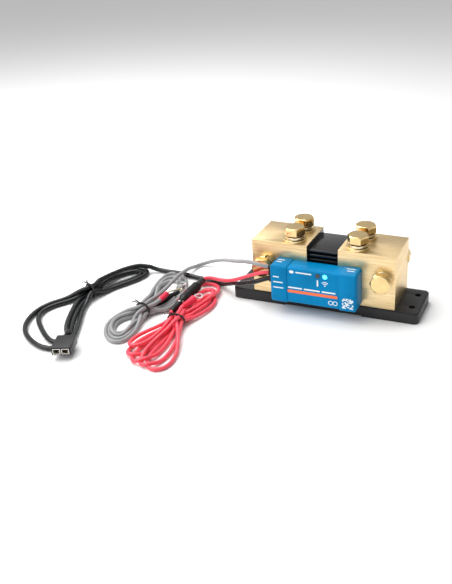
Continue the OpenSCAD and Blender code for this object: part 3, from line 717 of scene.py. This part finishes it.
for part in frame["record"]["subparts"]:
    node = NODES[part["node"]]
    node.data.materials.clear()
    node.data.materials.append(MATERIALS[part["material_slot"]])
for colour, piece in leads.items():
    finish(piece, f"jacket_{colour}")

# ---------------------------------------------------------------- edges of the CAD nodes

BEVELS = {
    "base": 1.1, "block_left": 0.45, "block_right": 0.45, "resistor_plates": 0.25, "front_cover": 0.5,
    "end_cap_left": 0.9, "end_cap_right": 0.9, "black_plug": 0.7, "radio_can": 0.3, "board_chips": 0.15,
}


def join_faces(node):
    """Joins the node's faces along their shared edges, for its modifiers and its shading only."""
    weld = node.modifiers.new("join_faces", "WELD")
    weld.merge_threshold = 0.00001
    for layer in [a for a in node.data.attributes if a.name == "custom_normal"]:
        node.data.attributes.remove(layer)


def soften(node, width):
    """Rounds the sharp edges of a CAD node by the width in millimetres."""
    bevel = node.modifiers.new("edges", "BEVEL")
    bevel.width = width * MM
    bevel.segments = 3
    bevel.limit_method = "ANGLE"
    bevel.angle_limit = math.radians(SHARP_ANGLE)


def smooth_shade(node):
    """Smooth shading that keeps real edges sharp."""
    for face in node.data.polygons:
        face.use_smooth = True
    edge_split = node.modifiers.new("sharp_edges", "EDGE_SPLIT")
    edge_split.split_angle = math.radians(SHARP_ANGLE)


def edge_width(name):
    """How far the edges of a CAD node are rounded, in millimetres."""
    if name.startswith("bolt_"):
        return 0.3
    if name.startswith(("washer_", "spring_")):
        return 0.25
    return BEVELS.get(name, 0)


for name, node in NODES.items():
    join_faces(node)
    if edge_width(name):
        soften(node, edge_width(name))
    smooth_shade(node)


# ---------------------------------------------------------------- fuse holders and far ends


def make_red_fuse():
    """Inline fuse: the wide half, the cap half that pushes over it, and two rivets that show."""
    nose = [(0, 1.7), (0.5, 2.5), (2, 2.9), (8, 3.0), (8.4, 3.2), (9.4, 3.2), (9.8, 3.0), (12, 3.9)]
    grips = []
    for k in range(6):
        grips += [(13.5 + 2.9 * k, HOLDER_BULGE), (13.9 + 2.9 * k, HOLDER_BULGE - 0.4),
                  (15.1 + 2.9 * k, HOLDER_BULGE - 0.4), (15.5 + 2.9 * k, HOLDER_BULGE)]
    body = nose + grips + [(HOLDER_L - 0.6, HOLDER_BULGE), (HOLDER_L, HOLDER_BULGE - 0.3)]
    holder = lathe("red_fuse_body", body, HOLDER_TOP, HOLDER_WAY)
    finish(holder, "holder_black")
    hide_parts("red_fuse_holder")
    collar = HOLDER_BULGE + 0.1
    cap = [(0, HOLDER_R), (0.4, collar), (6.6, collar), (7.2, collar - 0.5), (10.5, FUSE_CAP_R + 0.75),
           (12.5, FUSE_CAP_R + 0.45), (17, FUSE_CAP_R + 0.35), (20.5, FUSE_CAP_R), (21, FUSE_CAP_R - 0.25),
           (22, FUSE_CAP_R - 0.25), (22.4, FUSE_CAP_R), (FUSE_CAP_L - 3.4, FUSE_CAP_R - 0.1),
           (FUSE_CAP_L - 0.6, 2.1), (FUSE_CAP_L, 1.7)]
    sleeve = lathe("red_fuse_sleeve", cap, HOLDER_TOP + HOLDER_WAY * HOLDER_L, HOLDER_WAY)
    finish(sleeve, "holder_black")
    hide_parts("red_fuse_cap")
    rivets = []
    for k, (s, angle) in enumerate(((HOLDER_L + 14.5, 25), (HOLDER_L + 16.5, 75))):
        a = math.radians(angle)
        out = np.array([math.cos(a), 0, math.sin(a)])
        foot = HOLDER_TOP + HOLDER_WAY * s + out * (FUSE_CAP_R + 0.1)
        dome = [(0, 1.1), (0.35, 1.1), (0.6, 0.7), (0.7, 0.0)]
        rivets.append(lathe(f"red_fuse_rivet_{k + 1}", dome, foot, out, sides=20))
        finish(rivets[-1], "screw_steel")
    return [holder, sleeve, *rivets]


def make_red_boot():
    flare = [(0, 1.65), (0.3, 2.1), (3.5, 2.25), (4, 2.6), (4.8, 2.6), (5.3, 2.35), (9, 2.8), (12.5, 3.4),
             (BOOT_L - 0.3, 3.6), (BOOT_L, 3.4), (BOOT_L, 2.9), (11, 2.0)]
    boot = lathe("red_boot_flared", flare, BOOT_FROM, BOOT_TO - BOOT_FROM)
    finish(boot, "sleeve_red")
    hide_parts("red_boot")
    return [boot]


def make_grey_end():
    """The grey lead's heat-shrunk joint, its slim fuse holder, and the cream wires to the ring terminal."""
    shrunk = [(0, 1.75), (0.4, 2.1), (3, 2.25), (4.5, SLEEVE_R), (8, SLEEVE_R), (9.5, 2.3), (12.4, 2.3),
              (SLEEVE_L, 1.4)]
    sleeve = lathe("grey_sleeve_shrunk", shrunk, SLEEVE_FROM, SLEEVE_TO - SLEEVE_FROM)
    finish(sleeve, "sleeve_red")
    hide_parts("grey_sleeve")
    wide, groove = GREY_FUSE_R, GREY_FUSE_R - 0.25
    slim = [(0, 1.0), (0.3, 1.7), (3, 2.1), (8, wide), (9.6, wide), (9.9, groove), (10.7, groove), (11, wide),
            (17.5, wide), (17.8, groove), (18.6, groove), (18.9, wide), (GREY_FUSE_L - 12, 2.8),
            (GREY_FUSE_L - 0.4, 1.5), (GREY_FUSE_L, 1.0)]
    fuse = lathe("grey_fuse_body", slim, GREY_FUSE_FROM, GREY_FUSE_TO - GREY_FUSE_FROM)
    finish(fuse, "holder_black")
    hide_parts("grey_fuse_holder")
    wires = tube("grey_wire_pair", [smooth_path(wire) for wire in CREAM_WIRES], CREAM_WIRE_D)
    finish(wires, "wire_cream")
    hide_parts("grey_wires")
    return [sleeve, fuse, wires]


def make_tie(colour, at, up, half_across, half_up, height):
    """Coated twist tie: two wires wound round the bundle, and their two ends twisted and bent off."""
    wire = 1.0
    twist = 0.5
    level = across(up)
    way = np.array([math.cos(math.radians(up)), math.sin(math.radians(up)), 0])
    side = np.array([level[0], level[1], 0])
    middle = np.array([at[0], at[1], height])
    up_z = np.array([0, 0, 1])
    steps = 150
    lines = []
    for strand in (0, math.pi):
        ring = []
        for k in range(steps + 1):
            a = 2 * math.pi * k / steps
            out = unit(side * math.cos(a) / half_across + up_z * math.sin(a) / half_up)
            base = middle + side * half_across * math.cos(a) + up_z * half_up * math.sin(a)
            turn = 16 * a + strand
            ring.append(base + twist * (out * math.cos(turn) + way * math.sin(turn)))
        lines.append(ring)
    root = middle + side * half_across * math.cos(2.0) + up_z * half_up * math.sin(2.0)
    for strand, bend in ((0, -0.5), (math.pi, 0.7)):
        tail = []
        for k in range(28):
            s = k / 27
            curl = twist * (1 - s) + 0.1
            turn = 9 * s + strand
            base = root - side * 6 * s + up_z * (1.2 * math.sin(2.6 * s)) + way * bend * 4.4 * s**2
            tail.append(base + curl * (way * math.cos(turn) + up_z * math.sin(turn)))
        lines.append(tail)
    tie = tube(f"{colour}_twist_tie", lines, wire, sides=8)
    finish(tie, "tie_wire")
    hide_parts(f"{colour}_tie")
    return [tie]


def to_plug(x, y, z):
    """A place on the plug, from the middle of its rear face, in the frame."""
    a = math.radians(PLUG_TURN)
    return PLUG_AT + np.array([x * math.cos(a) - y * math.sin(a), x * math.sin(a) + y * math.cos(a), z])


def make_plug_details():
    """Sprung metal linings of the two sockets, and the ribbed relief where the lead enters."""
    wide, high, wall, deep = 5.8, 4.6, 0.45, 4
    pieces = []
    for k, x in enumerate((-SOCKET_X, SOCKET_X)):
        verts, faces = [], []
        for y in (-PLUG_L - 0.05, -PLUG_L + deep):
            for inset in (0, wall):
                for sx, sz in ((-1, -1), (1, -1), (1, 1), (-1, 1)):
                    z = PLUG_H / 2 + sz * (high / 2 - inset)
                    verts.append(to_plug(x + sx * (wide / 2 - inset), y, z))
        for a, b in ((0, 4), (4, 12), (12, 8), (8, 0)):
            faces += [(a + n, a + (n + 1) % 4, b + (n + 1) % 4, b + n) for n in range(4)]
        lining = mesh_piece(f"plug_lining_{k + 1}", verts, faces)
        finish(lining, "contact_gold", SOCKET_METAL)
        pieces.append(lining)
    ribs = [(0, 3.3)]
    for k in range(3):
        ribs += [(0.8 + 2 * k, 3.3 - 0.2 * k), (1.0 + 2 * k, 2.7 - 0.1 * k), (1.8 + 2 * k, 2.7 - 0.1 * k),
                 (2.0 + 2 * k, 3.1 - 0.2 * k)]
    ribs += [(8.0, 2.5), (8.3, 2.15)]
    relief = lathe("plug_relief", ribs, PLUG_ENTRY, (-1.4, 2, 0))
    finish(relief, "plug_black")
    pieces.append(relief)
    return pieces


# Half the width and height of each tied bundle, and the height of its middle.
BUNDLES = {"grey": (6.2, 6.2, TIE_HEIGHT), "red": (7.0, 5.0, 6.5), "black": (6.2, 6.2, TIE_HEIGHT)}
ON_LEAD = {
    "grey": make_grey_end() + make_tie("grey", GREY_TIE, GREY_UP, *BUNDLES["grey"]),
    "red": make_red_fuse() + make_red_boot() + make_tie("red", RED_TIE, RED_UP, *BUNDLES["red"]),
    "black": make_plug_details() + make_tie("black", BLACK_TIE, BLACK_UP, *BUNDLES["black"]),
}

# ---------------------------------------------------------------- monitor module

MIDDLE_Y = node_box("front_cover")[0][1]
CAP_Y = node_box("end_cap_left")[0][1]
TOP_Z = node_box("end_cap_left")[1][2]
MODULE_X0 = node_box("end_cap_left")[0][0]
INK = 0.06


def bar(x0, x1, z0, z1, radius=0.5, steps=5):
    """Outline of a bar with round corners."""
    radius = min(radius, (x1 - x0) / 2, (z1 - z0) / 2)
    outline = []
    for cx, cz, first in ((x1 - radius, z1 - radius, 0), (x0 + radius, z1 - radius, 90),
                          (x0 + radius, z0 + radius, 180), (x1 - radius, z0 + radius, 270)):
        for k in range(steps + 1):
            a = math.radians(first + 90 * k / steps)
            outline.append((cx + radius * math.cos(a), cz + radius * math.sin(a)))
    return outline


def arc(x, z, inner, outer, start, end, steps=20):
    """Outline of a curved band between two angles in degrees."""
    angles = [math.radians(start + (end - start) * k / steps) for k in range(steps + 1)]
    far = [(x + outer * math.cos(a), z + outer * math.sin(a)) for a in angles]
    near = [(x + inner * math.cos(a), z + inner * math.sin(a)) for a in reversed(angles)]
    return far + near


def rings(x, z, inner, outer):
    return [arc(x, z, inner, outer, 0, 180), arc(x, z, inner, outer, 180, 360)]


def block_pattern(x, z, size, cells=9):
    """A generic pattern of small squares, with no code in it."""
    cell = size / cells
    corner_x, corner_z = x - size / 2, z - size / 2
    return [
        bar(corner_x + i * cell, corner_x + (i + 0.96) * cell,
            corner_z + j * cell, corner_z + (j + 0.96) * cell, 0.05, 1)
        for i in range(cells)
        for j in range(cells)
        if (37 * i + 91 * j + 13 * i * i * j) % 17 < 9
    ]


def make_prints():
    """Generic marks where the real module has its printing."""
    def on_middle(u, v, out):
        return (u, MIDDLE_Y - out, v)

    def on_cap(u, v, out):
        return (u, CAP_Y - out, v)

    def on_top(u, v, out):
        return (u, v, TOP_Z + out)

    pill = [bar(-23.6, -19.6, 39.7, 42.3, 1.3), bar(-18, -4, 40.4, 41.6, 0.5)]
    row = [bar(-25, -12.5, 25.8, 27.1), bar(-10.8, 3.2, 25.8, 27.1), bar(5, 17, 25.8, 27.1)]
    upright = [bar(0.7, 2.0, 30.8, 36.6, 0.4)]
    waves = [bar(7.2, 8.4, 31.6, 32.8, 0.6), arc(7.8, 32.2, 1.6, 2.2, 40, 140),
             arc(7.8, 32.2, 3.1, 3.7, 40, 140)]
    pair = rings(12.7, 17.2, 1.5, 2.1) + rings(16.7, 17.2, 1.5, 2.1)
    labels = [bar(-38.2, -32.8, 34.3, 35.3), bar(-38.2, -29.4, 29.5, 30.5), bar(-38.2, -29, 24.5, 25.5)]
    top_left = [bar(-38, -31.7, -27.1, -25.9), bar(-38, -33, -31, -29.8)]
    top_right = [bar(23, 31, -27.1, -25.9), bar(24.5, 31, -31, -29.8)]
    for name, outlines, place, material in (
        ("print_pill", pill, on_middle, WHITE_PRINT),
        ("print_row", row, on_middle, WHITE_PRINT),
        ("print_upright", upright, on_middle, WHITE_PRINT),
        ("print_waves", waves, on_middle, WHITE_PRINT),
        ("print_rings", pair, on_middle, WHITE_PRINT),
        ("print_stripe", [bar(-25.5, 18.5, 21.7, 24.3, 0.3)], on_middle, ORANGE_PRINT),
        ("print_labels", labels, on_cap, WHITE_PRINT),
        ("print_pattern", block_pattern(27.8, 19, 9.5), on_cap, WHITE_PRINT),
        ("print_top_left", top_left, on_top, WHITE_PRINT),
        ("print_top_right", top_right, on_top, WHITE_PRINT),
    ):
        finish(sheet_piece(name, outlines, place, INK), "housing_blue", material)


def make_lens(node_name, slot_name):
    """A domed window in a thin bezel over an indicator."""
    low_corner, high_corner = node_box(node_name)
    x, z = (low_corner[0] + high_corner[0]) / 2, (low_corner[2] + high_corner[2]) / 2
    radius = (high_corner[0] - low_corner[0]) / 2
    dome = [(0, radius - 0.1)] + [
        (0.05 + 0.45 * math.sin(a), (radius - 0.1) * math.cos(a)) for a in np.linspace(0, math.pi / 2, 8)
    ]
    lens = lathe(node_name + "_lens", dome, (x, MIDDLE_Y + 0.02, z), (0, -1, 0))
    finish(lens, slot_name)
    bezel = [(0, radius - 0.1), (0.2, radius - 0.1), (0.3, radius + 0.05), (0.22, radius + 0.2),
             (0, radius + 0.25)]
    verts, faces = [], []
    sides = 40
    turn = [2 * math.pi * k / sides for k in range(sides)]
    for out, r in bezel:
        verts += [(x + r * math.cos(a), MIDDLE_Y - out, z + r * math.sin(a)) for a in turn]
    faces = walls(len(bezel), sides)
    faces += [((len(bezel) - 1) * sides + k, (len(bezel) - 1) * sides + (k + 1) % sides, (k + 1) % sides, k)
              for k in range(sides)]
    finish(mesh_piece(node_name + "_bezel", verts, faces), "housing_blue")


def make_grommets():
    """Soft collars where the three leads leave the end cap."""
    collar = [(0, 3.0), (0.5, 3.0), (0.75, 2.75), (1.2, 2.7), (1.4, 2.9), (1.9, 2.85), (2.1, 2.5), (2.6, 2.3)]
    for colour, z in zip(("grey", "red", "black"), EXIT_Z):
        thick = DIAMETERS[colour] / 2
        shape = [(s, max(thick + 0.15, r)) for s, r in collar]
        piece = lathe(f"{colour}_grommet", shape, (MODULE_X0, EXIT_Y, z), (-1, 0, 0))
        finish(piece, "grommet_rubber")
    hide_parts("lead_grommets")


make_prints()
make_lens("status_window", "window_dark")
make_lens("radio_window", "window_lit")
make_grommets()

# ---------------------------------------------------------------- bolts and blocks

THREAD_PITCH = 1.5
THREAD_ROOT = 4.5
THREAD_CREST = 4.97
THREAD_FOOT = 0.62
THREAD_FLAT = 0.12
HEAD_H = 6.4


def make_thread(bolt):
    """The helical ridge on a bolt's shank; the bolt's box says where it is."""
    low_corner, high_corner = node_box(bolt)
    middle = (low_corner + high_corner) / 2
    if bolt.endswith("_top"):
        tip, way = np.array([middle[0], middle[1], low_corner[2]]), np.array([0, 0, 1.0])
        length = high_corner[2] - low_corner[2]
    elif "_front_" in bolt:
        tip, way = np.array([middle[0], high_corner[1], middle[2]]), np.array([0, -1.0, 0])
        length = high_corner[1] - low_corner[1]
    else:
        tip, way = np.array([middle[0], low_corner[1], middle[2]]), np.array([0, 1.0, 0])
        length = high_corner[1] - low_corner[1]
    side = side_of(way)
    up = np.cross(way, side)
    first, last = 1.2, length - HEAD_H - 1.2
    per_turn = 24
    count = int((last - first) / THREAD_PITCH * per_turn)
    verts, faces = [], []
    for k in range(count + 1):
        angle = 2 * math.pi * k / per_turn
        out = math.cos(angle) * side + math.sin(angle) * up
        fade = min(1, k / per_turn, (count - k) / per_turn)
        crest = THREAD_ROOT - 0.15 + (THREAD_CREST - THREAD_ROOT + 0.15) * fade
        at = first + THREAD_PITCH * k / per_turn
        verts += [tip + way * (at + step) + out * radius for step, radius in (
            (-THREAD_FOOT, THREAD_ROOT - 0.2), (-THREAD_FLAT, crest),
            (THREAD_FLAT, crest), (THREAD_FOOT, THREAD_ROOT - 0.2))]
    faces = walls(count + 1, 4)
    faces += [(0, 1, 2, 3), tuple(range(len(verts) - 4, len(verts)))]
    thread = mesh_piece("thread_" + bolt, verts, faces, body=bolt, sharp=50)
    finish(thread, "yellow_zinc")


for bolt in [name for name in NODES if name.startswith("bolt_")]:
    make_thread(bolt)


def make_enamel_coat(name, x, out_way):
    """The enamel that runs from the plates over a block's inner face, with a hand-painted edge."""
    low_corner, high_corner = node_box("block_left")
    front, rear = low_corner[1] + 0.3, high_corner[1] - 0.3
    bottom, top = low_corner[2] + 1.5, high_corner[2] - 0.15
    outline = []
    edge = 60
    for k in range(edge + 1):
        y = front + (rear - front) * k / edge
        wave = 0.35 * math.sin(0.9 * y) + 0.25 * math.sin(2.3 * y + 1) + 0.12 * math.sin(5.1 * y + 2)
        outline.append((y, top - 0.6 + wave * 0.8))
    for k in range(edge + 1):
        z = top - 1 - (top - 1 - bottom) * k / edge
        outline.append((rear - 0.4 + 0.3 * math.sin(0.8 * z + 2), z))
    for k in range(edge + 1):
        z = bottom + (top - 1 - bottom) * k / edge
        outline.append((front + 0.4 + 0.3 * math.sin(0.7 * z) + 0.15 * math.sin(2.9 * z), z))
    coat = sheet_piece(name, [outline], lambda u, v, out: (x + out_way * out, u, v), 0.3)
    finish(coat, "plate_enamel")


make_enamel_coat("enamel_left", node_box("block_left")[1][0], 1)
make_enamel_coat("enamel_right", node_box("block_right")[0][0], -1)

# ---------------------------------------------------------------- stage


def make_world():
    """Pale surroundings, dimmer to the right of the object."""
    world = bpy.data.worlds.new("studio")
    world.use_nodes = True
    tree = world.node_tree
    place = tree.nodes.new("ShaderNodeTexCoord")
    split = tree.nodes.new("ShaderNodeSeparateXYZ")
    dim = tree.nodes.new("ShaderNodeMapRange")
    dim.inputs["From Min"].default_value = 0.1
    dim.inputs["From Max"].default_value = 0.8
    dim.inputs["To Min"].default_value = 1.0
    dim.inputs["To Max"].default_value = 0.45
    tree.links.new(place.outputs["Generated"], split.inputs["Vector"])
    tree.links.new(split.outputs["X"], dim.inputs["Value"])
    tree.links.new(dim.outputs["Result"], tree.nodes["Background"].inputs["Color"])
    tree.nodes["Background"].inputs["Strength"].default_value = 0.58
    bpy.context.scene.world = world


def make_stage():
    floor_mesh = bpy.data.meshes.new("floor")
    half = 12.0
    corners = [(-half, -half, 0), (half, -half, 0), (half, half, 0), (-half, half, 0)]
    floor_mesh.from_pydata(corners, [], [(0, 1, 2, 3)])
    floor = collection_add("floor", floor_mesh)
    pale, _, surface = shader("floor_pale", 0.8)
    surface.inputs["Base Color"].default_value = (0.93, 0.93, 0.93, 1)
    floor.data.materials.append(pale)
    floor.location.z = -0.0002
    make_world()
    for name, place, size, power in (
        ("key_light", (-700, -650, 800), 1.1, 8.5),
        ("fill_light", (700, -500, 500), 0.8, 0.3),
        ("top_light", (-420, 180, 900), 0.9, 10),
    ):
        data = bpy.data.lights.new(name, "AREA")
        data.size = size
        data.energy = power
        light = collection_add(name, data)
        light.location = mm(place)
        light.rotation_euler = (-Vector(place)).to_track_quat("-Z", "Y").to_euler()
    bpy.context.scene.view_settings.view_transform = "Standard"


make_stage()
